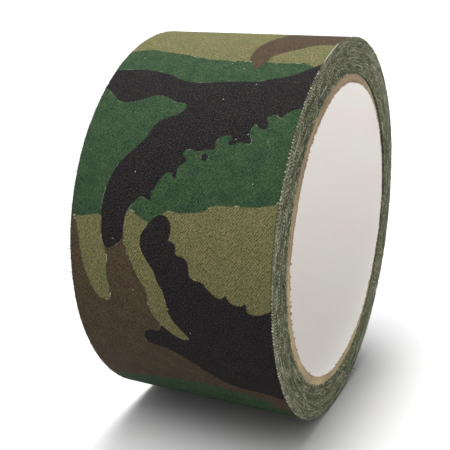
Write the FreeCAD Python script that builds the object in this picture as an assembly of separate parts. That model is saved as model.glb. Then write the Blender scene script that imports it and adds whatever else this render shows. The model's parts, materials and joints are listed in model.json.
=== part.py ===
import FreeCAD, Part

import math
import os

from FreeCAD import Placement, Rotation, Vector

# Cloth duct tape on a cardboard core, standing on its rim.
# The roll's axis lies along Y through the origin, which is the middle of the bore. Z is up.
# Sizes are in millimetres and angles in degrees.

# --- width and core ---
WIDTH = 50.8  # 2 inch tape, and the core is as wide
BORE_R = 38.1  # standard 3 inch core
LINER_T = 0.20  # white paper lining the bore
PLY_T = 0.44  # one layer of kraft board
PLIES = 5
CORE_R = BORE_R + LINER_T + PLIES * PLY_T

# --- tape ---
CLOTH_T = 0.17  # printed cloth with its coating
ADHESIVE_T = 0.08
TAPE_T = CLOTH_T + ADHESIVE_T  # also what the radius grows by in one turn
EDGE_RECESS = 0.10  # the adhesive stops this far short of the cloth's cut edges
WHOLE_TURNS = 34  # complete turns before the turn that holds the free end

# --- free end of the tape ---
TIP_ANGLE = 13.0  # where the tape ends, measured up from +X towards +Z
LINKS = 6  # rigid lengths that stand for the flexible free end
LINK_ANGLE = 7.5  # arc of the roll that each length covers
LIFT_GAP = 0.03  # air under the free end, which rests on the roll unstuck
LINK_GAP = 0.02  # air between one length and the next

# The tape winds outwards as the angle about Y falls from +X towards -Z, so the
# winding angle, which grows along the tape, is the angle from +X taken downwards.
# The tape leaves the core at winding angle 0.
TIP = 360.0 * WHOLE_TURNS + 360.0 - TIP_ANGLE
ROOT = TIP - LINKS * LINK_ANGLE  # where the free end is still stuck down
OUTER_START = TIP - 360.0  # start of the outermost turn

# Built flat in XY, then turned so that the drawing's Y becomes the row's Z.
UPRIGHT = Placement(Vector(0, 0, 0), Rotation(Vector(1, 0, 0), 90))
OUT_OF_PAGE = Vector(0, 0, 1)


def arc_centre_and_radius(half_turn, offset):
    """Centre and radius of one half turn of the winding, offset outwards.

    Half turns swing about two centres, a quarter of the tape's thickness either
    side of the axis, and each is half a thickness larger than the last. That
    gives a smooth winding whose turns lie exactly one thickness apart.
    """
    side = -1 if half_turn % 2 == 0 else 1
    centre = Vector(side * TAPE_T / 4, 0, 0)
    radius = CORE_R + TAPE_T / 4 + half_turn * TAPE_T / 2 + offset
    return centre, radius


def point_on_winding(angle, offset, half_turn):
    centre, radius = arc_centre_and_radius(half_turn, offset)
    polar = math.radians(-angle)
    return centre + Vector(radius * math.cos(polar), radius * math.sin(polar), 0)


def winding_edges(start, end, offset):
    """Arcs of the winding from one winding angle to another."""
    edges = []
    half_turn = math.floor(start / 180.0)
    while half_turn * 180.0 < end:
        centre, radius = arc_centre_and_radius(half_turn, offset)
        first = max(start, half_turn * 180.0)
        last = min(end, (half_turn + 1) * 180.0)
        circle = Part.Circle(centre, OUT_OF_PAGE, radius)
        arc = Part.ArcOfCircle(circle, math.radians(-last), math.radians(-first))
        edges.append(arc.toShape())
        half_turn += 1
    return edges


def line(a, b):
    return Part.LineSegment(a, b).toShape()


def extruded(edges, top, base=None):
    """The outline filled and extruded from base to top, or across the middle if base is left out."""
    wire = Part.Wire(Part.__sortEdges__(edges))
    low = -top if base is None else base
    face = Part.Face(wire)
    face.translate(Vector(0, 0, low))
    return face.extrude(Vector(0, 0, top - low))


def strip(start, end, inner, outer, top, base=None):
    """A length of the winding between two offsets, with square ends."""
    first = math.floor(start / 180.0)
    last = math.ceil(end / 180.0) - 1
    edges = winding_edges(start, end, inner) + winding_edges(start, end, outer)
    edges.append(line(point_on_winding(start, inner, first), point_on_winding(start, outer, first)))
    edges.append(line(point_on_winding(end, inner, last), point_on_winding(end, outer, last)))
    return extruded(edges, top, base)


def tube(inner_r, outer_r):
    base = Vector(0, 0, -WIDTH / 2)
    outer = Part.makeCylinder(outer_r, WIDTH, base, OUT_OF_PAGE)
    return outer.cut(Part.makeCylinder(inner_r, WIDTH, base, OUT_OF_PAGE))


def wound_turns():
    """Every turn under the outermost one, stuck to each other as one block.

    Its sides carry the cloth's edge as a ridge that winds from the core to the
    outermost turn, with the adhesive sunk between one ridge and the next.
    """
    floor = WIDTH / 2 - EDGE_RECESS
    last = math.ceil(TIP / 180.0) - 1
    edges = winding_edges(OUTER_START, TIP, 0.0)
    edges.append(line(point_on_winding(OUTER_START, 0.0, last - 2), point_on_winding(TIP, 0.0, last)))
    block = extruded(edges, floor)
    hub = Part.makeCylinder(CORE_R, WIDTH, Vector(0, 0, -WIDTH / 2), OUT_OF_PAGE)
    block = block.cut(hub)
    ridges = [
        strip(0.0, OUTER_START, ADHESIVE_T, TAPE_T, WIDTH / 2, floor),
        strip(0.0, OUTER_START, ADHESIVE_T, TAPE_T, -floor, -WIDTH / 2),
    ]
    return block.fuse(ridges)


def build():
    parts = {}
    parts["core_liner"] = tube(BORE_R, BORE_R + LINER_T)
    for ply in range(PLIES):
        inner = BORE_R + LINER_T + ply * PLY_T
        parts["core_ply_%d" % (ply + 1)] = tube(inner, inner + PLY_T)

    parts["tape_wound_turns"] = wound_turns()
    bed = WIDTH / 2 - EDGE_RECESS
    parts["tape_outer_adhesive"] = strip(OUTER_START, ROOT, 0.0, ADHESIVE_T, bed)
    parts["tape_outer_cloth"] = strip(OUTER_START, ROOT, ADHESIVE_T, TAPE_T, WIDTH / 2)

    gap_angle = math.degrees(LINK_GAP / CORE_R)
    for link in range(LINKS):
        start = ROOT + link * LINK_ANGLE + gap_angle
        end = ROOT + (link + 1) * LINK_ANGLE
        name = "tape_end_%d" % (link + 1)
        parts[name + "_cloth"] = strip(start, end, ADHESIVE_T, TAPE_T, WIDTH / 2)
        parts[name + "_adhesive"] = strip(start, end, LIFT_GAP, ADHESIVE_T, bed)
    return parts


def main():
    os.makedirs("parts", exist_ok=True)
    for name, shape in build().items():
        shape.Placement = UPRIGHT.multiply(shape.Placement)
        solid = shape.Solids[0]
        print(name, len(shape.Solids), solid.isValid(), round(solid.Volume, 2))
        solid.exportStep("parts/%s.step" % name)

    last = math.ceil(TIP / 180.0) - 1
    for link in range(LINKS):
        angle = ROOT + link * LINK_ANGLE
        hinge = UPRIGHT.multVec(point_on_winding(angle, TAPE_T, last))
        print("hinge", link + 1, round(hinge.x, 3), round(hinge.z, 3))


main()
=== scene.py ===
import json
import math

import bpy
import numpy as np
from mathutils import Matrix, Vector


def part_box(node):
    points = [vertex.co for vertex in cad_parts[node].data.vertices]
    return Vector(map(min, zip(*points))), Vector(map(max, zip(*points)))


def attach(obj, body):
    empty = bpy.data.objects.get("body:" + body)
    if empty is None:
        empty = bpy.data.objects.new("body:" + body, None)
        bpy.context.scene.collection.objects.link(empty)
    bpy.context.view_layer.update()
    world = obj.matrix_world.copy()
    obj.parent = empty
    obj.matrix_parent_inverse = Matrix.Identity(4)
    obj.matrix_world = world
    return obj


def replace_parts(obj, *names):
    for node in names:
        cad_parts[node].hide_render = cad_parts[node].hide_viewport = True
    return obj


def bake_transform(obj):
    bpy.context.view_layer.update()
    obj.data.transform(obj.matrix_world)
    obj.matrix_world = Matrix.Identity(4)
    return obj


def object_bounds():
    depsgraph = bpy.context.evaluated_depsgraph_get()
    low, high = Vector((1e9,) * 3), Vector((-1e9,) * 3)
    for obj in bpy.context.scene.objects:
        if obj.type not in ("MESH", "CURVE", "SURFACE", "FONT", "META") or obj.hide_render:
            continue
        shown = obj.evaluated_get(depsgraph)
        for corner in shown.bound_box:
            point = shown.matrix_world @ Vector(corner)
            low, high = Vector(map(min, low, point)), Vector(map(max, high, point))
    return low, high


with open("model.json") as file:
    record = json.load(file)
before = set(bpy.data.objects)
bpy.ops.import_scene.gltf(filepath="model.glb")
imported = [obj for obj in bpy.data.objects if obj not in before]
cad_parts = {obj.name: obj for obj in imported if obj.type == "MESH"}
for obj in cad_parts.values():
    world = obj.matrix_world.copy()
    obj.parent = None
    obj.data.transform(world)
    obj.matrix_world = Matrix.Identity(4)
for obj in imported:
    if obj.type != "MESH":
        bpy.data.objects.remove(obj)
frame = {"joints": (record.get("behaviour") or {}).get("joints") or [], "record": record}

CAD_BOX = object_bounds()
RNG = np.random.default_rng(7)
MM = 0.001

# ---------------------------------------------------------------- sizes, in mm
# The roll's axis is Y. The tape's place along its winding is the winding angle in degrees:
# it grows outwards along the tape, and its direction in the XZ plane is minus that angle.
MOUNTS = {m["name"]: m for m in frame["record"]["mounts"]}
BORE_R = MOUNTS["core_bore"]["dims"]["r_mm"]
HALF_W = MOUNTS["core_bore"]["dims"]["length_mm"] / 2
PLIES = 5
CORE_R = round(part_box("core_ply_%d" % PLIES)[1].x / MM, 2)
LINER_T = 0.2
TAPE_T = 0.25
CLOTH_T = 0.17
ADHESIVE_T = TAPE_T - CLOTH_T
ADHESIVE_SETBACK = 0.10
WHOLE_TURNS = 34
HINGES = [Vector(j["pos_m"]) / MM for j in frame["joints"]]
LINKS = len(HINGES)
ROOT = 360.0 * (WHOLE_TURNS + 1) - math.degrees(math.atan2(HINGES[0].z, HINGES[0].x))
LINK_ANGLE = math.degrees(HINGES[0].angle(HINGES[1]))
TIP = ROOT + LINKS * LINK_ANGLE
OUTER_START = TIP - 360.0
UNDER_START = ROOT - 360.0  # the cloth from here on shows when the free end is lifted
LIFT_GAP = 0.03  # air under the free end


def winding_radius(angle):
    """Underside of the tape at a winding angle."""
    return CORE_R + TAPE_T * angle / 360.0


def on_winding(angle, radius, y):
    """Row frame coordinates in mm, from arrays that broadcast together."""
    polar = -np.radians(angle)
    x, y, z = np.broadcast_arrays(radius * np.cos(polar), y, radius * np.sin(polar))
    return np.stack([x, y, z], axis=-1)


# ---------------------------------------------------------------- smooth noise, for shapes
KNOTS = 4096  # of a noise that doesn't repeat


def wander(x, wavelength, seed, period=None):
    """Smooth random values in about -1..1 along x, repeating after period if it is given."""
    rng = np.random.default_rng(seed)
    count = KNOTS if period is None else max(3, int(round(period / wavelength)))
    step = wavelength if period is None else period / count
    knots = rng.uniform(-1, 1, count)
    t = np.asarray(x, float) / step
    i = np.floor(t).astype(int)
    f = t - i
    f = f * f * (3 - 2 * f)
    return knots[i % count] * (1 - f) + knots[(i + 1) % count] * f


# ---------------------------------------------------------------- meshes
def make_object(name, verts_mm, faces, smooth_below=40.0):
    mesh = bpy.data.meshes.new(name)
    verts = np.asarray(verts_mm, float).reshape(-1, 3) * MM
    mesh.from_pydata(verts.tolist(), [], faces if isinstance(faces, list) else faces.tolist())
    mesh.validate()
    mesh.shade_smooth()
    mesh.set_sharp_from_angle(angle=math.radians(smooth_below))
    obj = bpy.data.objects.new(name, mesh)
    bpy.context.scene.collection.objects.link(obj)
    return obj


def boundary(quads):
    """Directed edges of a sheet of quads that no other quad shares."""
    edges = np.concatenate([quads[:, [i, (i + 1) % 4]] for i in range(4)])
    big = quads.max() + 1
    key = edges[:, 0].astype(np.int64) * big + edges[:, 1]
    back = edges[:, 1].astype(np.int64) * big + edges[:, 0]
    return edges[~np.isin(key, back)]


def shell(name, top, bottom, quads, smooth_below=40.0):
    """A closed mesh from two sheets with the same quads, joined round their boundary."""
    n = len(top)
    rim = boundary(quads)
    walls = np.stack([rim[:, 1], rim[:, 0], rim[:, 0] + n, rim[:, 1] + n], axis=1)
    faces = np.concatenate([quads, quads[:, ::-1] + n, walls])
    return make_object(name, np.concatenate([top, bottom]), faces, smooth_below)


def grid_quads(rows, columns, wrap=False):
    """Quads of a rows by columns grid, whose rows join up at the ends if wrap is true."""
    i, j = np.meshgrid(np.arange(rows if wrap else rows - 1), np.arange(columns - 1), indexing="ij")
    a = i * columns + j
    b = ((i + 1) % rows) * columns + j
    return np.stack([a, b, b + 1, a + 1], axis=-1).reshape(-1, 4)


def put_attribute(obj, name, values, kind="FLOAT"):
    attribute = obj.data.attributes.new(name, kind, "POINT")
    field = "value" if kind == "FLOAT" else "vector"
    attribute.data.foreach_set(field, np.asarray(values, np.float32).ravel())


# ---------------------------------------------------------------- the print
# Outlines of the camouflage in mm: across the tape, as Y in the frame, and along it, with 0
# half way up the roll's -X side and rising over the top. Lengths along it are those on a
# cylinder of radius PRINT_R.
NOMINAL_R = 49.4  # the roll's own radius, near enough for spacing points along the tape
PRINT_R = 48.6
REPEAT = 152.0  # just under half a turn
FIRST_ALONG = -45.0  # where the drawn repeat begins
FIELD_LIMIT = 4.0  # the fields stop growing this far from an outline

OLIVE = [
    [(28, 59), (20, 58.5), (15, 57.5), (10, 56.8), (5, 55.6), (0, 55), (-6, 55), (-12, 55), (-17, 54.8),
     (-21, 55.5), (-28, 56.5), (-28, 101), (-17, 103), (-10, 100), (-4, 96), (0, 90), (6, 86), (12, 87),
     (18, 84), (28, 85)],
    [(1.5, 13.5), (0, 14), (-3, 14.2), (-7.5, 14.8), (-9.5, 15.8), (-10.5, 16.5), (-12.5, 16.8),
     (-16, 17), (-20, 17.3), (-24, 18.2), (-28, 19), (-29, 10), (-28, -12), (-12, -12), (-2, 0), (1.5, 8)],
]
OLIVE_OVER = [
    [(24.6, 10.6), (22, 10.8), (20.5, 11.2), (17.3, 11.6), (17, 8), (16.2, 4.8), (15.6, 3), (15.5, 0),
     (15.6, -2.5), (15.1, -5.6), (15.6, -7.8), (17.2, -8.7), (18.8, -7.8), (20.6, -4.4), (22, 0),
     (23, 5), (23.8, 9.5)],
    [(10.6, 13), (9.5, 13.3), (8, 12.6), (6.3, 11.7), (5, 10.8), (6.2, 9), (6.7, 7), (6.2, 4.8),
     (4.7, 2.6), (3, 0.4), (2.2, -2), (0.9, -4), (0.3, -7), (-0.1, -9.7), (-1.6, -12.2), (-4.1, -15),
     (-4.6, -15.8), (-2.2, -16.1), (0, -15), (2.5, -12.8), (4.4, -10.3), (5.1, -7), (5.4, -4.4),
     (7, -2), (8.6, 1), (10.3, 5), (11.1, 8.3), (11, 11.3)],
]
BROWN = [
    [(-28, 68.5), (-21.3, 65.4), (-18, 62.6), (-13.8, 59.2), (-12.4, 57.6), (-12, 55), (-10.3, 51.8),
     (-8.8, 54), (-7.5, 55.6), (-6.8, 59.5), (-7.2, 64), (-9.4, 72), (-10, 78), (-13, 84), (-17, 88),
     (-21, 93), (-28, 96)],
    [(28, 9.8), (23, 9.8), (20, 10.5), (14, 10), (8, 10), (3, 4), (-3, -10), (-6, -24), (-12, -27),
     (-20, -28), (-28, -27), (-29, -34), (-28, -41), (-23, -40), (-20.5, -36.5), (-18.5, -34.6),
     (-13, -33.6), (-8, -33), (-2, -32.8), (5, -33.6), (10, -34.8), (15, -36.2), (20, -37.4), (28, -37.6)],
]
BLACK = [
    [(28, 48.2), (24, 49), (19, 49.5), (15, 49.4), (10, 48.3), (6.5, 46.8), (3.5, 46.2), (0, 46.2),
     (-5, 47.1), (-12, 47.5), (-15, 48.5), (-20, 50.4), (-23, 52.9), (-28, 56.5),
     (-28, 41), (-25, 40.4), (-23.4, 39.8),
     (-22, 38.6), (-21.2, 37.6), (-20.3, 38.4), (-19.4, 38.2), (-18, 37.6), (-19, 36), (-18.5, 34.5),
     (-17, 34.7), (-16, 36), (-15.2, 33.5), (-16.2, 31), (-13.5, 31), (-11, 30), (-11.5, 32), (-10, 32.4),
     (-8, 31), (-8.3, 28.8), (-6.5, 28.7), (-4, 28), (-2, 28.5), (-0.8, 27), (-2.3, 25.7), (-0.4, 24),
     (-0.4, 21.2), (1, 22.6), (2.3, 22.4), (3.5, 20.8), (4.3, 19), (5, 18), (5, 16), (7.3, 16.8),
     (9, 15.4), (10.5, 13.3), (11.2, 9), (11.2, 7.3), (12.5, 5.7), (15, 4.2), (16.5, 5.3), (17, 8.2),
     (17.3, 12), (17, 16.4), (16, 20.7), (14, 24.5), (11, 28), (9.3, 30.4), (8.4, 33.2), (6.5, 35.1),
     (4, 36.4), (2.5, 37.5), (2, 39.2), (3.4, 39.8), (5.3, 40), (7, 40.8), (9, 41.5), (11.5, 41.3),
     (14.5, 39.7), (18, 38.8), (20.5, 39.5), (23.5, 41.8), (28, 44.5)],
    [(5, 10.8), (3.4, 12.6), (1.9, 13.3), (0.3, 12.9), (-0.8, 11.4), (-0.9, 9.5), (-0.5, 7.9),
     (-1.8, 7.6), (-2.4, 6.4), (-2.5, 5), (-4.7, 4.5), (-5.6, 3.2), (-6.2, 0.3), (-9, -0.3),
     (-10.3, -1.6), (-13.1, -3.4), (-14.7, -2.5), (-15.6, -3.8), (-18.1, -4.4), (-19.4, -3.4),
     (-19.8, -5.5), (-21.3, -5.8), (-23.1, -5.5), (-25, -4.4), (-28, -3.5), (-28, -30), (-20, -30.9),
     (-15, -30.9), (-11.3, -29.7), (-8.1, -27.5), (-5, -25), (-1.9, -22.5), (1.3, -20.6), (5, -19.7),
     (6.9, -19.4), (7.8, -18.1), (7.4, -16.2), (5.6, -15), (3, -14.4), (2.5, -10), (4, -4), (6, 2),
     (7, 8)],
    [(28, 97), (18, 95), (12, 91), (6, 90), (1, 86), (-3, 87), (-6, 90), (-4, 93), (0, 94), (2, 98),
     (8, 101), (15, 102), (20, 104), (28, 104)],
    [(-5.5, 27.4), (-5.6, 26.4), (-6.6, 26), (-7.1, 26.9), (-6.5, 27.7)],
]


def rounded(outline, steps=3):
    """The closed outline with its corners eased by a Catmull-Rom curve."""
    p = np.array(outline, float)
    before, after, next_but_one = np.roll(p, 1, 0), np.roll(p, -1, 0), np.roll(p, -2, 0)
    out = []
    for s in np.arange(steps) / steps:
        out.append(0.5 * (2 * p + (after - before) * s
                          + (2 * before - 5 * p + 4 * after - next_but_one) * s ** 2
                          + (3 * p - before - 3 * after + next_but_one) * s ** 3))
    return np.stack(out, axis=1).reshape(-1, 2)


def signed_distance(points, outline):
    """Distance in mm from the outline, positive inside it."""
    poly = rounded(outline)
    nearest = np.full(len(points), 1e9)
    inside = np.zeros(len(points), bool)
    for a, b in zip(poly, np.roll(poly, -1, 0)):
        edge, to = b - a, points - a
        t = np.clip(to @ edge / max(edge @ edge, 1e-12), 0, 1)
        nearest = np.minimum(nearest, ((to - t[:, None] * edge) ** 2).sum(1))
        if a[1] != b[1]:
            crosses = (a[1] > points[:, 1]) != (b[1] > points[:, 1])
            inside ^= crosses & (points[:, 0] < (b[0] - a[0]) * (points[:, 1] - a[1]) / (b[1] - a[1]) + a[0])
    return np.where(inside, 1.0, -1.0) * np.sqrt(nearest)


def print_fields():
    """Signed distances to the print's olive, brown and black on a grid over one repeat."""
    across = np.linspace(-HALF_W - 1, HALF_W + 1, 141)
    along = np.linspace(FIRST_ALONG, FIRST_ALONG + REPEAT, 411)
    a, s = np.meshgrid(across, along, indexing="ij")
    points = np.stack([a.ravel(), s.ravel()], axis=1)

    def union(outlines):
        fields = [signed_distance(points + [0, shift], o) for o in outlines
                  for shift in (-REPEAT, 0, REPEAT)
                  if shift == 0 or np.array(o)[:, 1].min() < FIRST_ALONG + 5
                  or np.array(o)[:, 1].max() > FIRST_ALONG + REPEAT - 5]
        return np.maximum.reduce(fields)

    over = union(OLIVE_OVER)
    olive = np.maximum(union(OLIVE), over)
    brown, black = np.minimum(union(BROWN), -over), np.minimum(union(BLACK), -over)
    fields = [np.clip(f, -FIELD_LIMIT, FIELD_LIMIT).reshape(a.shape) for f in (olive, brown, black)]
    return across, along, fields


PRINT = print_fields()


def sample_print(across, along):
    """The three fields at places on the cloth."""
    grid_a, grid_s, fields = PRINT
    along = (along - FIRST_ALONG) % REPEAT + FIRST_ALONG
    fa = (across - grid_a[0]) / (grid_a[1] - grid_a[0])
    fs = (along - grid_s[0]) / (grid_s[1] - grid_s[0])
    i = np.clip(np.floor(fa).astype(int), 0, len(grid_a) - 2)
    j = np.clip(np.floor(fs).astype(int), 0, len(grid_s) - 2)
    ta, ts = fa - i, fs - j
    return [
        (f[i, j] * (1 - ta) + f[i + 1, j] * ta) * (1 - ts)
        + (f[i, j + 1] * (1 - ta) + f[i + 1, j + 1] * ta) * ts
        for f in fields
    ]


def along_cloth(angle):
    """How far along the print a winding angle is, in mm."""
    return np.radians(angle - 360.0 * WHOLE_TURNS - 180.0) * PRINT_R


# ---------------------------------------------------------------- material helpers
RIB_PITCH = 0.52


class Nodes:
    """A few shorthands for building a material's node tree."""

    def __init__(self, name):
        self.material = bpy.data.materials.new(name)
        self.material.use_nodes = True
        self.tree = self.material.node_tree
        self.shader = self.tree.nodes["Principled BSDF"]

    def add(self, kind, **inputs):
        node = self.tree.nodes.new(kind)
        for key, value in inputs.items():
            self.feed(node.inputs[key.replace("_", " ")], value)
        return node

    def feed(self, socket, value):
        if isinstance(value, bpy.types.NodeSocket):
            self.tree.links.new(value, socket)
        else:
            socket.default_value = value

    def math(self, operation, *values):
        node = self.tree.nodes.new("ShaderNodeMath")
        node.operation = operation
        for socket, value in zip(node.inputs, values):
            self.feed(socket, value)
        return node.outputs[0]

    def attribute(self, name, output="Fac"):
        node = self.tree.nodes.new("ShaderNodeAttribute")
        node.attribute_name = name
        return node.outputs[output]

    def noise(self, vector, scale, detail=2.0, roughness=0.5):
        node = self.add("ShaderNodeTexNoise", Vector=vector, Scale=scale, Detail=detail, Roughness=roughness)
        return node.outputs["Fac"]

    def stretch(self, vector, scale):
        node = self.tree.nodes.new("ShaderNodeVectorMath")
        node.operation = "MULTIPLY"
        self.feed(node.inputs[0], vector)
        node.inputs[1].default_value = scale
        return node.outputs[0]

    def parts(self, vector):
        return self.add("ShaderNodeSeparateXYZ", Vector=vector).outputs

    def ramp(self, value, low, high, start=0.0, end=1.0, smooth=True):
        """value mapped from low..high to start..end."""
        node = self.tree.nodes.new("ShaderNodeMapRange")
        node.interpolation_type = "SMOOTHSTEP" if smooth else "LINEAR"
        self.feed(node.inputs["Value"], value)
        for key, v in (("From Min", low), ("From Max", high), ("To Min", start), ("To Max", end)):
            self.feed(node.inputs[key], v)
        return node.outputs[0]

    def mix(self, factor, a, b, blend="MIX"):
        node = self.tree.nodes.new("ShaderNodeMix")
        node.data_type = "RGBA"
        node.blend_type = blend
        for socket, value in ((node.inputs[0], factor), (node.inputs[6], a), (node.inputs[7], b)):
            self.feed(socket, value)
        return node.outputs[2]

    def finish(self, colour, height=None, strength=0.3, distance=0.1, **constants):
        self.feed(self.shader.inputs["Base Color"], colour)
        for key, value in constants.items():
            self.feed(self.shader.inputs[key.replace("_", " ")], value)
        if height is not None:
            bump = self.add("ShaderNodeBump", Strength=strength, Distance=distance * MM, Height=height)
            self.tree.links.new(bump.outputs[0], self.shader.inputs["Normal"])
        return self.material


def srgb(r, g, b):
    """A colour given as it looks on screen, 0 to 255, for a shader."""
    def linear(c):
        c /= 255.0
        return c / 12.92 if c <= 0.04045 else ((c + 0.055) / 1.055) ** 2.4
    return (linear(r), linear(g), linear(b), 1.0)


# ---------------------------------------------------------------- materials
def printed_cloth():
    n = Nodes("printed_cloth")
    place = n.attribute("place", "Vector")  # x across, y along, in mm
    x, y = n.parts(place)[0:2]

    wobble = n.math("MULTIPLY", n.math("SUBTRACT", n.noise(place, 2.2, 3.0, 0.7), 0.5), 0.7)

    def covered(name):
        return n.ramp(n.math("ADD", n.attribute(name), wobble), -0.14, 0.14)

    tint = n.ramp(n.noise(place, 0.30, 4.0, 0.65), 0.32, 0.68)
    green = n.mix(tint, srgb(33, 53, 36), srgb(45, 62, 40))
    olive = n.mix(tint, srgb(80, 81, 51), srgb(91, 86, 58))
    brown = n.mix(tint, srgb(55, 46, 35), srgb(63, 52, 39))
    black = n.mix(tint, srgb(17, 16, 19), srgb(23, 21, 21))
    colour = n.mix(covered("olive"), green, olive)
    colour = n.mix(covered("brown"), colour, brown)
    inked = covered("black")
    colour = n.mix(inked, colour, black)

    # slivers of bare pale cloth where two inks fail to meet
    def sliver(name, share):
        off = n.math("ABSOLUTE", n.math("ADD", n.math("ADD", n.attribute(name), wobble), 0.14))
        return n.math("MULTIPLY", n.ramp(off, 0.05, 0.17, 1.0, 0.0), share)

    clear = n.ramp(n.attribute("black"), -0.6, -0.2, 1.0, 0.0)
    bare = n.math("MAXIMUM", n.math("MULTIPLY", sliver("olive", 0.7), clear), sliver("black", 0.16))
    here = n.ramp(n.noise(place, 0.33, 2.0), 0.54, 0.61)
    colour = n.mix(n.math("MULTIPLY", bare, here), colour, srgb(150, 148, 128))

    # twill: ribs that climb from left to right, each a row of short raised yarns
    up_rib = n.math("SUBTRACT", n.math("MULTIPLY", y, 0.81), n.math("MULTIPLY", x, 0.58))
    over_rib = n.math("ADD", n.math("MULTIPLY", y, 0.58), n.math("MULTIPLY", x, 0.81))
    drift = n.math("MULTIPLY", n.noise(place, 0.5, 2.0), 3.0)
    ribs = n.math("SINE", n.math("ADD", n.math("MULTIPLY", over_rib, 2 * math.pi / RIB_PITCH), drift))
    grain = n.add("ShaderNodeCombineXYZ", X=n.math("MULTIPLY", up_rib, 1.5),
                  Y=n.math("MULTIPLY", over_rib, 2.1))
    grain = n.math("SUBTRACT", n.noise(grain.outputs[0], 1.0, 3.0, 0.65), 0.5)
    fuzz = n.math("SUBTRACT", n.noise(place, 5.0, 2.0, 0.6), 0.5)
    weave = n.math("ADD", n.math("MULTIPLY", ribs, 0.32), n.math("MULTIPLY", grain, 3.6))
    weave = n.math("ADD", weave, n.math("MULTIPLY", fuzz, 6.0))
    light = n.ramp(weave, -1.3, 1.3, 0.12, 1.88, smooth=False)
    shade = n.add("ShaderNodeCombineColor", Red=light, Green=light, Blue=light).outputs[0]
    colour = n.mix(1.0, colour, shade, "MULTIPLY")

    # lint, which shows most on the black
    lint = n.math("MULTIPLY", n.ramp(n.noise(place, 2.9, 2.0, 0.7), 0.48, 0.68),
                  n.ramp(inked, 0.0, 1.0, 0.02, 0.08))
    colour = n.mix(lint, colour, srgb(150, 142, 132))

    # pale slubs, few and tiny, where the yarn shows through the print
    cells = n.add("ShaderNodeTexVoronoi", Vector=place, Scale=0.8, Randomness=1.0)
    chosen = n.ramp(n.parts(cells.outputs["Color"])[0], 0.975, 0.98)
    slub = n.math("MULTIPLY", chosen, n.ramp(cells.outputs["Distance"], 0.09, 0.15, 1.0, 0.0))
    colour = n.mix(n.math("MULTIPLY", slub, 0.5), colour, srgb(170, 168, 150))

    # painted shade along the cut edges: the cloth is darkened towards them in place of the shadow line
    # between the outermost turn and the side, which sets off the pale yarn ends that stand out of them
    edge = n.math("ADD", n.math("ABSOLUTE", x), n.math("MULTIPLY", n.noise(place, 2.5, 2.0), 0.5))
    colour = n.mix(n.ramp(edge, HALF_W - 0.20, HALF_W + 0.25, 0.0, 0.6), colour, srgb(44, 46, 35))
    return n.finish(colour, weave, 0.35, 0.08, Roughness=0.9, Specular_IOR_Level=0.05,
                    Sheen_Weight=0.01, Sheen_Roughness=0.6)


YARN_PITCH = 0.83  # cut yarn ends along the tape's edges
MIDDLE_R = 44.0  # about half way out through the winding


def tape_side():
    n = Nodes("tape_side")
    here = n.parts(n.add("ShaderNodeTexCoord").outputs["Object"])
    x, z = n.math("DIVIDE", here[0], MM), n.math("DIVIDE", here[2], MM)
    radius = n.math("SQRT", n.math("ADD", n.math("MULTIPLY", x, x), n.math("MULTIPLY", z, z)))
    swing = n.math("FLOORED_MODULO", n.math("ARCTAN2", n.math("MULTIPLY", z, -1.0), x), 2 * math.pi)
    part_turn = n.math("DIVIDE", swing, 2 * math.pi)
    turns_out = n.math("DIVIDE", n.math("SUBTRACT", radius, CORE_R), TAPE_T)
    whole = n.math("FLOOR", n.math("SUBTRACT", turns_out, part_turn))
    turn = n.math("ADD", whole, part_turn)
    length = n.math("MULTIPLY", n.math("MULTIPLY", turn, 2 * math.pi),
                    n.math("ADD", n.math("MULTIPLY", turn, TAPE_T / 2), CORE_R))

    # one yarn end after another along the tape, each a little lighter or darker than the last
    count = n.math("DIVIDE", length, YARN_PITCH)
    ends = n.math("SINE", n.math("MULTIPLY", count, 2 * math.pi))
    white = n.tree.nodes.new("ShaderNodeTexWhiteNoise")
    white.noise_dimensions = "1D"
    n.feed(white.inputs["W"], n.math("FLOOR", count))
    each = n.math("POWER", white.outputs["Value"], 2.5)
    arc = n.add("ShaderNodeCombineXYZ", X=radius, Y=n.math("MULTIPLY", swing, MIDDLE_R), Z=here[1]).outputs[0]
    fleck = n.noise(n.stretch(arc, (3.4, 2.1, 0.0)), 1.0, 3.0, 0.75)
    streak = n.noise(n.stretch(arc, (2.6, 0.16, 0.0)), 1.0, 3.0, 0.6)
    cloud = n.noise(n.stretch(arc, (0.45, 0.20, 0.0)), 1.0, 2.0)
    rows = n.math("MULTIPLY", n.ramp(n.noise(n.stretch(arc, (0.9, 0.12, 0.0)), 1.0, 1.0), 0.35, 0.65),
                  n.ramp(radius, 43.0, 47.5, 0.3, 1.0))
    value = n.math("ADD", n.math("MULTIPLY", ends, n.math("MULTIPLY", rows, 0.48)),
                   n.math("MULTIPLY", each, 0.30))
    value = n.math("ADD", value, n.math("MULTIPLY", fleck, 1.0))
    value = n.math("ADD", value, n.math("MULTIPLY", streak, 0.95))
    # tone: a random tone per turn, plus painted shade in the sunk adhesive grooves
    value = n.math("ADD", value, n.math("MULTIPLY", n.attribute("tone"), 0.16))
    value = n.math("ADD", value, n.ramp(cloud, 0.30, 0.70, -0.08, 0.06))
    value = n.math("ADD", value, n.ramp(radius, 45.5, 48.8, 0.0, 0.06))
    dark, mid, pale = srgb(42, 46, 34), srgb(98, 101, 79), srgb(182, 183, 157)
    colour = n.mix(n.ramp(value, 0.74, 1.13), dark, mid)
    colour = n.mix(n.ramp(value, 1.18, 1.52), colour, pale)
    colour = n.mix(n.ramp(cloud, 0.30, 0.45, 0.30, 0.0), colour, srgb(70, 70, 48))
    return n.finish(colour, fleck, 0.6, 0.15, Roughness=0.9, Specular_IOR_Level=0.1)


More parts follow.
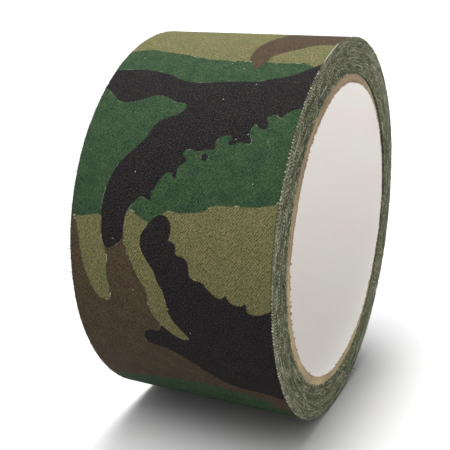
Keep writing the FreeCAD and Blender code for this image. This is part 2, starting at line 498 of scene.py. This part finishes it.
def yarn():
    n = Nodes("yarn")
    tone = n.attribute("tone")
    colour = n.mix(tone, srgb(66, 72, 52), srgb(205, 205, 182))
    fibre = n.noise(n.stretch(n.add("ShaderNodeTexCoord").outputs["Object"], (9000.0, 9000.0, 9000.0)), 1.0)
    colour = n.mix(n.math("MULTIPLY", fibre, 0.4), colour, srgb(120, 122, 96))
    return n.finish(colour, Roughness=0.85)


def kraft():
    n = Nodes("kraft_board")
    place = n.add("ShaderNodeTexCoord").outputs["Object"]
    fibre = n.noise(place, 1500.0, 4.0, 0.7)
    cloud = n.noise(place, 110.0, 3.0)
    value = n.math("ADD", n.math("MULTIPLY", fibre, 0.7), n.math("MULTIPLY", cloud, 0.8))
    colour = n.mix(n.ramp(value, 0.45, 1.05), srgb(145, 127, 97), srgb(190, 172, 132))
    colour = n.mix(n.math("MULTIPLY", n.attribute("tone"), 0.9), colour, srgb(128, 104, 84))
    return n.finish(colour, fibre, 0.5, 0.1, Roughness=0.9)


def paper():
    n = Nodes("liner_paper")
    place = n.add("ShaderNodeTexCoord").outputs["Object"]
    fibre = n.noise(place, 900.0, 4.0, 0.6)
    cloud = n.noise(place, 60.0, 2.0)
    colour = n.mix(n.ramp(cloud, 0.4, 0.7), srgb(227, 225, 220), srgb(230, 221, 220))
    colour = n.mix(n.ramp(fibre, 0.3, 0.7, 0.0, 0.2), colour, srgb(224, 222, 218))
    return n.finish(colour, fibre, 0.25, 0.05, Roughness=0.75)


def adhesive():
    n = Nodes("adhesive")
    place = n.add("ShaderNodeTexCoord").outputs["Object"]
    ripple = n.noise(place, 800.0, 3.0)
    colour = n.mix(n.ramp(ripple, 0.3, 0.7), srgb(150, 146, 122), srgb(176, 172, 148))
    return n.finish(colour, ripple, 0.4, 0.05, Roughness=0.38)


CLOTH, SIDE, YARN, KRAFT, PAPER, ADHESIVE = printed_cloth(), tape_side(), yarn(), kraft(), paper(), adhesive()


# ---------------------------------------------------------------- the core
def rough_ring(name, inner, outer, edge_y, columns=720):
    """A paper ring whose ends follow edge_y(angle in degrees, side)."""
    angle = np.arange(columns) * 360.0 / columns
    radii = np.array([inner, inner + 0.03, outer - 0.03, outer])
    sunk = np.array([0.03, 0.0, 0.0, 0.03])
    sheets = []
    for side in (-1, 1):
        y = side * (edge_y(angle, side)[:, None] - sunk[None, :])
        sheets.append(on_winding(angle[:, None], radii[None, :], y).reshape(-1, 3))
    return shell(name, sheets[0], sheets[1], grid_quads(columns, len(radii), wrap=True))


def torn_line(angle, side):
    """How the cut of the paper, and of the board layers next to it, strays at each angle."""
    return wander(angle, 12.0, 40 + side, 360.0) + 0.5 * wander(angle, 2.6, 44 + side, 360.0)


def ply_edge(seed, set_back, torn):
    def edge(angle, side):
        lumps = wander(angle, 9.0, seed + side, 360.0) * 0.06
        lumps = lumps + wander(angle, 1.6, seed + 20 + side, 360.0) * 0.04
        # on the +X side the board lies deeper than the paper
        deeper = 0.6 * np.clip(np.cos(np.radians(angle + 15.0)), 0, 1) ** 1.5
        return HALF_W - set_back + lumps + torn * torn_line(angle, side) - deeper
    return edge


def liner_edge(angle, side):
    flush = 0.5 + 0.5 * np.cos(np.radians(angle))  # the paper comes up to the roll's side on the +X side
    teeth = np.abs(wander(angle, 1.4, 60 + side, 360.0)) ** 1.5 * (0.45 - 0.25 * flush)
    return HALF_W - 0.22 + 0.30 * flush + (0.20 - 0.12 * flush) * torn_line(angle, side) - teeth


# How far each board layer stops short of the width, and how raggedly it is cut.
EDGES = [(-0.02, 0.18), (-0.04, 0.10), (-0.02, 0.03), (0.03, 0.0), (0.10, 0.0)]
REDNESS = [0.4, 0.2, 0.0, 0.1, 0.0]  # of each layer: the board is redder near the bore, and at the top
for k in range(1, PLIES + 1):
    outer = round(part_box("core_ply_%d" % k)[1].x / MM, 2)
    inner = BORE_R + LINER_T + (k - 1) * (CORE_R - BORE_R - LINER_T) / PLIES
    ply = rough_ring("core_board_%d" % k, inner, outer, ply_edge(100 * k, *EDGES[k - 1]))
    height = np.array([v.co.z for v in ply.data.vertices]) / (CORE_R * MM)
    put_attribute(ply, "tone", np.clip(0.25 + 0.3 * height + REDNESS[k - 1], 0, 1))
    ply.data.materials.append(KRAFT)
    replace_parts(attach(ply, "roll"), "core_ply_%d" % k)

liner = rough_ring("core_liner_paper", BORE_R, BORE_R + LINER_T, liner_edge)
liner.data.materials.append(PAPER)
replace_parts(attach(liner, "roll"), "core_liner")


# ---------------------------------------------------------------- the turns under the outermost one
def wound_side():
    """Both sides of the winding: the cloth's edge as a ridge, the adhesive as a groove."""
    step = 0.5
    per_turn = int(round(360 / step))
    t = np.arange(int(UNDER_START / step) + 1)
    angle = t * step
    turn = angle / 360.0
    profile = np.array([0.0, ADHESIVE_T, ADHESIVE_T + 0.03, TAPE_T - 0.02])
    sunk = np.array([ADHESIVE_SETBACK, ADHESIVE_SETBACK, 0.0, 0.0])
    radius = winding_radius(angle)[:, None] + profile[None, :]
    sheets, tones = [], []
    for side in (-1, 1):
        seed = 300 + side
        drift = wander(turn, 4.0, seed) * 0.12 + wander(turn, 0.9, seed + 5) * 0.07
        rough = wander(angle, 2.1, seed + 9) * 0.05
        edge = HALF_W - 0.06 + drift + rough
        y = side * (edge[:, None] - sunk[None, :] * (1.0 + 0.5 * wander(angle, 7.0, seed + 13)[:, None]))
        sheets.append(on_winding(angle[:, None], radius, y).reshape(-1, 3))
        # each turn's tone strays at random; the sunk adhesive rows are painted 0.5 darker as shade in the
        # groove
        tone = 0.5 + 0.5 * wander(turn, 0.8, seed + 17)[:, None] - np.where(sunk > 0, 0.5, 0.0)[None, :]
        tones.append(np.broadcast_to(tone, radius.shape).ravel())
    k = len(profile)
    ribbon = grid_quads(len(t), k)
    lower = t[:len(t) - per_turn - 1] * k + k - 1
    upper = lower - k + 1 + per_turn * k
    between = np.stack([lower, lower + k, upper + k, upper], axis=1)
    obj = shell("tape_turns", sheets[0], sheets[1], np.concatenate([ribbon, between]), 60.0)
    put_attribute(obj, "tone", np.concatenate(tones))
    obj.data.materials.append(SIDE)
    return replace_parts(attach(obj, "roll"), "tape_wound_turns")


wound_side()


# ---------------------------------------------------------------- strips of tape
EDGE_ROUND = 0.07
NOISE_START = 400  # picks the stretch of noise that the strips' edges follow


def strip(name, start, end, low, high, half_width, step=0.45, wave=0.1, across=123):
    """A length of one layer of the tape, between two heights above the tape's underside."""
    columns = max(3, int(math.ceil((end - start) * math.radians(1) * NOMINAL_R / step)) + 1)
    angle = np.linspace(start, end, columns)
    share = np.concatenate([[-1.0, -0.997, -0.99], np.linspace(-0.98, 0.98, across), [0.99, 0.997, 1.0]])
    along = along_cloth(angle)

    def edge(side):
        slow = wander(along + NOISE_START, 11.0, 500 + side)
        quick = wander(along + NOISE_START, 0.9, 510 + side)
        return half_width + wave * (0.6 * slow + 0.4 * quick)

    half = np.where(share[None, :] < 0, edge(-1)[:, None], edge(1)[:, None])
    y = share[None, :] * half
    droop = EDGE_ROUND * np.clip((np.abs(share) - 0.985) / 0.015, 0, 1) ** 2
    under = winding_radius(angle)[:, None]
    top = on_winding(angle[:, None], under + high - droop[None, :] * (high - low) / CLOTH_T, y)
    bottom = on_winding(angle[:, None], np.broadcast_to(under + low, y.shape), y)
    obj = shell(name, top.reshape(-1, 3), bottom.reshape(-1, 3), grid_quads(columns, len(share))[:, ::-1])
    places = np.stack(np.broadcast_arrays(y, along[:, None], 0.0), axis=-1).reshape(-1, 3)
    put_attribute(obj, "place", np.concatenate([places, places]), "FLOAT_VECTOR")
    return obj, y, np.broadcast_to(along[:, None], y.shape)


def cloth_strip(name, start, end):
    obj, y, along = strip(name, start, end, ADHESIVE_T, TAPE_T, HALF_W)
    for field, values in zip(("olive", "brown", "black"), sample_print(y.ravel(), along.ravel())):
        put_attribute(obj, field, np.concatenate([values, values]))
    obj.data.materials.append(CLOTH)
    return obj


def adhesive_strip(name, start, end, low):
    obj = strip(name, start, end, low, ADHESIVE_T - 0.002, HALF_W - ADHESIVE_SETBACK, 0.8, 0.03, 41)[0]
    obj.data.materials.append(ADHESIVE)
    return obj


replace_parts(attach(cloth_strip("tape_cloth", UNDER_START, ROOT), "roll"), "tape_outer_cloth")
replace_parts(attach(adhesive_strip("tape_adhesive", UNDER_START, ROOT, 0.0), "roll"), "tape_outer_adhesive")

# The free end is cut into pieces from the middle of each length to the middle of the one
# after, so its pieces meet where each is rigid.
for k in range(LINKS):
    hinge = ROOT + k * LINK_ANGLE
    first = hinge if k == 0 else hinge - LINK_ANGLE / 2
    last = TIP if k == LINKS - 1 else hinge + LINK_ANGLE / 2
    start, end = (
        Vector(on_winding(a, winding_radius(a) + TAPE_T, 0.0)) * MM
        for a in (first, hinge + LINK_ANGLE / 2)
    )
    for piece, node in (
        (cloth_strip("tape_end_cloth_%d" % (k + 1), first, last), "cloth"),
        (adhesive_strip("tape_end_adhesive_%d" % (k + 1), first, last, LIFT_GAP), "adhesive"),
    ):
        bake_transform(piece)
        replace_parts(piece, "tape_end_%d_%s" % (k + 1, node))


# ---------------------------------------------------------------- frayed yarn
THIRD_OF_TURN = 2.0944  # in radians


def end_name(side):
    return "front" if side < 0 else "back"


def fibres(name, roots, ways, lengths, widths, tones, bend=0.35, material=None):
    """Short tapering three-sided fibres in one mesh. Sizes in mm."""
    count = len(roots)
    ways = ways / np.linalg.norm(ways, axis=1, keepdims=True)
    aside = np.cross(ways, RNG.normal(size=(count, 3)))
    aside /= np.linalg.norm(aside, axis=1, keepdims=True)
    third = np.cross(ways, aside)
    rings = []
    for share, width in ((-0.25, 1.0), (0.5, 0.9), (1.0, 0.35)):
        centre = roots + ways * (lengths * share)[:, None]
        centre = centre + aside * (lengths * bend * max(share, 0) ** 2)[:, None]
        for turn in range(3):
            c, s = math.cos(turn * THIRD_OF_TURN), math.sin(turn * THIRD_OF_TURN)
            rings.append(centre + (aside * c + third * s) * (widths * width / 2)[:, None])
    verts = np.stack(rings, axis=1).reshape(-1, 3)
    one = [[0, 1, 4, 3], [1, 2, 5, 4], [2, 0, 3, 5], [3, 4, 7, 6], [4, 5, 8, 7], [5, 3, 6, 8],
           [2, 1, 0], [6, 7, 8]]
    faces = [[v + 9 * i for v in f] for i in range(count) for f in one]
    obj = make_object(name, verts, faces, 80.0)
    put_attribute(obj, "tone", np.repeat(tones, 9))
    obj.data.materials.append(material or YARN)
    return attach(obj, "roll")


CLEAR_OF_TIP = 0.5  # degrees kept free of yarn past the tape's end


def edge_yarn(side):
    """Cut yarn ends along one edge of the outermost turn, about one to each rib of the twill."""
    angle = np.arange(OUTER_START + CLEAR_OF_TIP, ROOT, math.degrees(YARN_PITCH / NOMINAL_R))
    angle = angle + RNG.uniform(-0.15, 0.15, len(angle))
    radius = winding_radius(angle) + TAPE_T - RNG.uniform(0.06, 0.12, len(angle))
    roots = on_winding(angle, radius, side * (HALF_W - 0.02 + RNG.uniform(-0.05, 0.05, len(angle))))
    out = on_winding(angle, np.ones(len(angle)), 0.0)
    around = np.cross(out, [0.0, 1.0, 0.0])
    ways = (np.array([0, side, 0]) + out * RNG.uniform(-0.4, 0.25, (len(angle), 1))
            + around * RNG.uniform(-0.7, 0.7, (len(angle), 1)))
    lengths = RNG.uniform(0.16, 0.42, len(angle))
    lengths[RNG.random(len(angle)) < 0.04] *= 1.8
    tones = np.clip(RNG.beta(1.6, 1.0, len(angle)) * (0.55 + 0.45 * wander(angle, 22.0, 730 + side)), 0, 1)
    return fibres("edge_yarn_" + end_name(side), roots, ways, lengths,
                  RNG.uniform(0.24, 0.38, len(angle)), tones)


def side_yarn(side, count=5500):
    """Yarn ends and loops that stand out of the wound turns' cut edges, thick in patches."""
    turn = RNG.uniform(0.3, WHOLE_TURNS - 0.4, count)
    angle = turn * 360.0
    polar = angle % 360.0
    patch = wander(polar, 14.0, 700 + side, 360.0) + 0.7 * wander(turn + polar / 40.0, 3.0, 710 + side)
    keep = RNG.random(count) < 0.3 + 0.4 * patch
    angle, patch = angle[keep], patch[keep]
    count = len(angle)
    radius = winding_radius(angle) + RNG.uniform(0.08, 0.22, count)
    roots = on_winding(angle, radius, side * (HALF_W - 0.02 + RNG.uniform(-0.08, 0.06, count)))
    out = on_winding(angle, np.ones(count), 0.0)
    around = np.cross(out, [0.0, 1.0, 0.0]) * RNG.choice([-1.0, 1.0], (count, 1))
    ways = (around + np.array([0, side, 0]) * RNG.uniform(0.05, 0.4, (count, 1))
            + out * RNG.normal(0, 0.25, (count, 1)))
    tones = np.clip(RNG.beta(0.7, 1.9, count) + 0.2 * patch, 0, 1)
    return fibres("side_yarn_" + end_name(side), roots, ways, RNG.uniform(0.2, 0.6, count),
                  RNG.uniform(0.12, 0.28, count), tones, 0.12)


def inner_yarn(side):
    """Yarn ends of the innermost turn, which straggle over the edge of the board."""
    angle = np.arange(5.0, 365.0, math.degrees(YARN_PITCH / CORE_R))
    angle = angle + RNG.uniform(-0.2, 0.2, len(angle))
    level = side * (HALF_W - 0.02 + RNG.uniform(0, 0.08, len(angle)))
    roots = on_winding(angle, winding_radius(angle) + 0.14, level)
    out = on_winding(angle, np.ones(len(angle)), 0.0)
    around = np.cross(out, [0.0, 1.0, 0.0])
    ways = np.array([0, side, 0]) * 0.25 - out + around * RNG.uniform(-0.8, 0.8, (len(angle), 1))
    return fibres("inner_yarn_" + end_name(side), roots, ways, RNG.uniform(0.25, 0.75, len(angle)),
                  RNG.uniform(0.18, 0.34, len(angle)), RNG.beta(0.8, 2.0, len(angle)))


def torn_paper(side):
    """Ragged bits of the white paper and of the innermost board layer round the mouth of the bore."""
    for name, material, slot, radius, stand_out, lean, count in (
        ("torn_paper", PAPER, "liner_paper", BORE_R + 0.12, -0.10, 0.3, 600),
        ("torn_board", KRAFT, "kraft_board", BORE_R + 0.30, -0.04, 1.2, 1100),
    ):
        angle = RNG.uniform(0.0, 360.0, count)
        upper = np.clip(0.5 - np.sin(np.radians(angle)), 0.05, 1.0)
        angle = angle[RNG.random(count) < upper * (0.5 + 0.5 * wander(angle, 11.0, 740 + side, 360.0))]
        some = len(angle)
        roots = on_winding(angle, radius, side * (HALF_W + stand_out + RNG.uniform(-0.06, 0.06, some)))
        out = on_winding(angle, np.ones(some), 0.0)
        around = np.cross(out, [0.0, 1.0, 0.0])
        ways = (np.array([0, side, 0]) - out * lean * RNG.uniform(0.2, 1.2, (some, 1))
                + around * RNG.uniform(-0.8, 0.8, (some, 1)))
        fibres("%s_%s" % (name, end_name(side)), roots, ways, RNG.uniform(0.10, 0.42, some),
               RNG.uniform(0.20, 0.55, some), RNG.uniform(0, 1, some), 0.2, material)


def pulled_thread(side, name, start, length, lift, tone, seed, thickness=0.20):
    """A pale thread pulled loose along the tape's edge, from a winding angle, for a length in mm."""
    count = 40
    angle = start + np.linspace(0.0, math.degrees(length / winding_radius(start)), count)
    along = np.radians(angle - start) * winding_radius(start)
    radius = winding_radius(angle) + TAPE_T * 0.6 + lift * 0.8 + 0.05 * wander(along, 2.5, seed)
    centre = on_winding(angle, radius, side * (HALF_W + 0.05 + 0.07 * wander(along, 3.0, seed + 1)))
    out = on_winding(angle, np.ones(count), 0.0)
    to_end = np.minimum(np.arange(count), np.arange(count)[::-1]) / 4.0
    width = thickness / 2 * np.sqrt(np.clip(to_end, 0.15, 1.0))[:, None]
    rings = [centre + width * (out * math.cos(t) + np.array([0.0, 1.0, 0.0]) * math.sin(t))
             for t in np.arange(6) * math.pi / 3]
    verts = np.stack(rings, axis=1).reshape(-1, 3)
    faces = [[6 * i + t, 6 * i + (t + 1) % 6, 6 * i + 6 + (t + 1) % 6, 6 * i + 6 + t]
             for i in range(count - 1) for t in range(6)]
    faces += [[5, 4, 3, 2, 1, 0], [6 * count - 6 + t for t in range(6)]]
    obj = make_object(name, verts, faces, 80.0)
    put_attribute(obj, "tone", np.full(len(verts), tone))
    obj.data.materials.append(YARN)
    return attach(obj, "roll")


for side in (-1, 1):
    edge_yarn(side)
    side_yarn(side)
    inner_yarn(side)
    torn_paper(side)

# The one along the front edge near the top, and shorter ones scattered over both sides.
pulled_thread(-1, "pulled_thread_edge", 360.0 * (WHOLE_TURNS + 1) - 113.0, 10.5, TAPE_T * 0.5, 0.6, 801, 0.16)
for i in range(22):
    side = -1 if i % 2 else 1
    start = 360.0 * RNG.integers(4, WHOLE_TURNS - 1)
    start = start + (RNG.uniform(220, 290) if i % 3 == 0 else RNG.uniform(0, 360))
    pulled_thread(side, "pulled_thread_%d" % (i + 1), start, RNG.uniform(2.0, 9.0), 0.0,
                  RNG.uniform(0.55, 0.95), 820 + 3 * i, 0.15)


# ---------------------------------------------------------------- floor, light and camera
def floor():
    n = Nodes("floor")
    place = n.add("ShaderNodeTexCoord").outputs["Object"]
    colour = n.mix(n.noise(place, 30.0), (0.46, 0.46, 0.46, 1), (0.48, 0.48, 0.48, 1))
    half, z = 20.0, CAD_BOX[0].z
    corners = [(-half, -half, z), (half, -half, z), (half, half, z), (-half, half, z)]
    mesh = bpy.data.meshes.new("floor")
    mesh.from_pydata(corners, [], [(0, 1, 2, 3)])
    obj = bpy.data.objects.new("floor", mesh)
    bpy.context.scene.collection.objects.link(obj)
    mesh.materials.append(n.finish(colour, Roughness=0.9, Specular_IOR_Level=0.0))


def studio_sky(horizon, overhead):
    """Soft light from the whole sky, with a bright strip overhead that runs across the roll's axis.

    The strip lies a little behind the roll, so that it doesn't shine into the front of the bore.
    The lowest few degrees are white, so that the floor has no edge behind the roll.
    """
    world = bpy.data.worlds.new("studio")
    world.use_nodes = True
    tree = world.node_tree

    def rise(value, low, high, start, end):
        node = tree.nodes.new("ShaderNodeMapRange")
        node.interpolation_type = "SMOOTHSTEP"
        for key, v in (("From Min", low), ("From Max", high), ("To Min", start), ("To Max", end)):
            node.inputs[key].default_value = v
        tree.links.new(value, node.inputs["Value"])
        return node.outputs[0]

    way = tree.nodes.new("ShaderNodeSeparateXYZ")
    tree.links.new(tree.nodes.new("ShaderNodeTexCoord").outputs["Generated"], way.inputs[0])
    aside = tree.nodes.new("ShaderNodeMath")
    aside.operation = "SUBTRACT"
    tree.links.new(way.outputs["Y"], aside.inputs[0])
    aside.inputs[1].default_value = 0.15
    off_centre = tree.nodes.new("ShaderNodeMath")
    off_centre.operation = "ABSOLUTE"
    tree.links.new(aside.outputs[0], off_centre.inputs[0])
    strip_light = tree.nodes.new("ShaderNodeMath")
    strip_light.operation = "MULTIPLY_ADD"
    tree.links.new(rise(way.outputs["Z"], 0.60, 1.0, 0.0, 1.0), strip_light.inputs[0])
    tree.links.new(rise(off_centre.outputs[0], 0.04, 0.27, overhead, 0.0), strip_light.inputs[1])
    lowest = rise(way.outputs["Z"], 0.03, 0.12, 1.05, horizon)
    tree.links.new(lowest, strip_light.inputs[2])
    background = tree.nodes["Background"]
    background.inputs["Color"].default_value = (1.0, 1.0, 1.0, 1.0)
    tree.links.new(strip_light.outputs[0], background.inputs["Strength"])
    bpy.context.scene.world = world


floor()
studio_sky(horizon=0.70, overhead=19.0)
bpy.context.scene.view_settings.view_transform = "Standard"

# The camera, fitted to the outlines in the photograph: its lens in mm, its place in metres,
# and its direction as turned from +X towards +Y and then down.
LENS = 66.8
CAMERA_AT = (-0.2018, -0.0862, 0.0641)
HEADING, DOWN = math.radians(25.15), math.radians(16.70)
camera = bpy.data.objects.new("camera", bpy.data.cameras.new("camera"))
camera.data.sensor_width = 36.0
camera.data.lens = LENS
camera.data.clip_start = 0.01
camera.location = CAMERA_AT
looks = Vector((math.cos(HEADING) * math.cos(DOWN), math.sin(HEADING) * math.cos(DOWN), -math.sin(DOWN)))
camera.rotation_mode = "QUATERNION"
camera.rotation_quaternion = looks.to_track_quat("-Z", "Y")
bpy.context.scene.collection.objects.link(camera)
bpy.context.scene.camera = camera
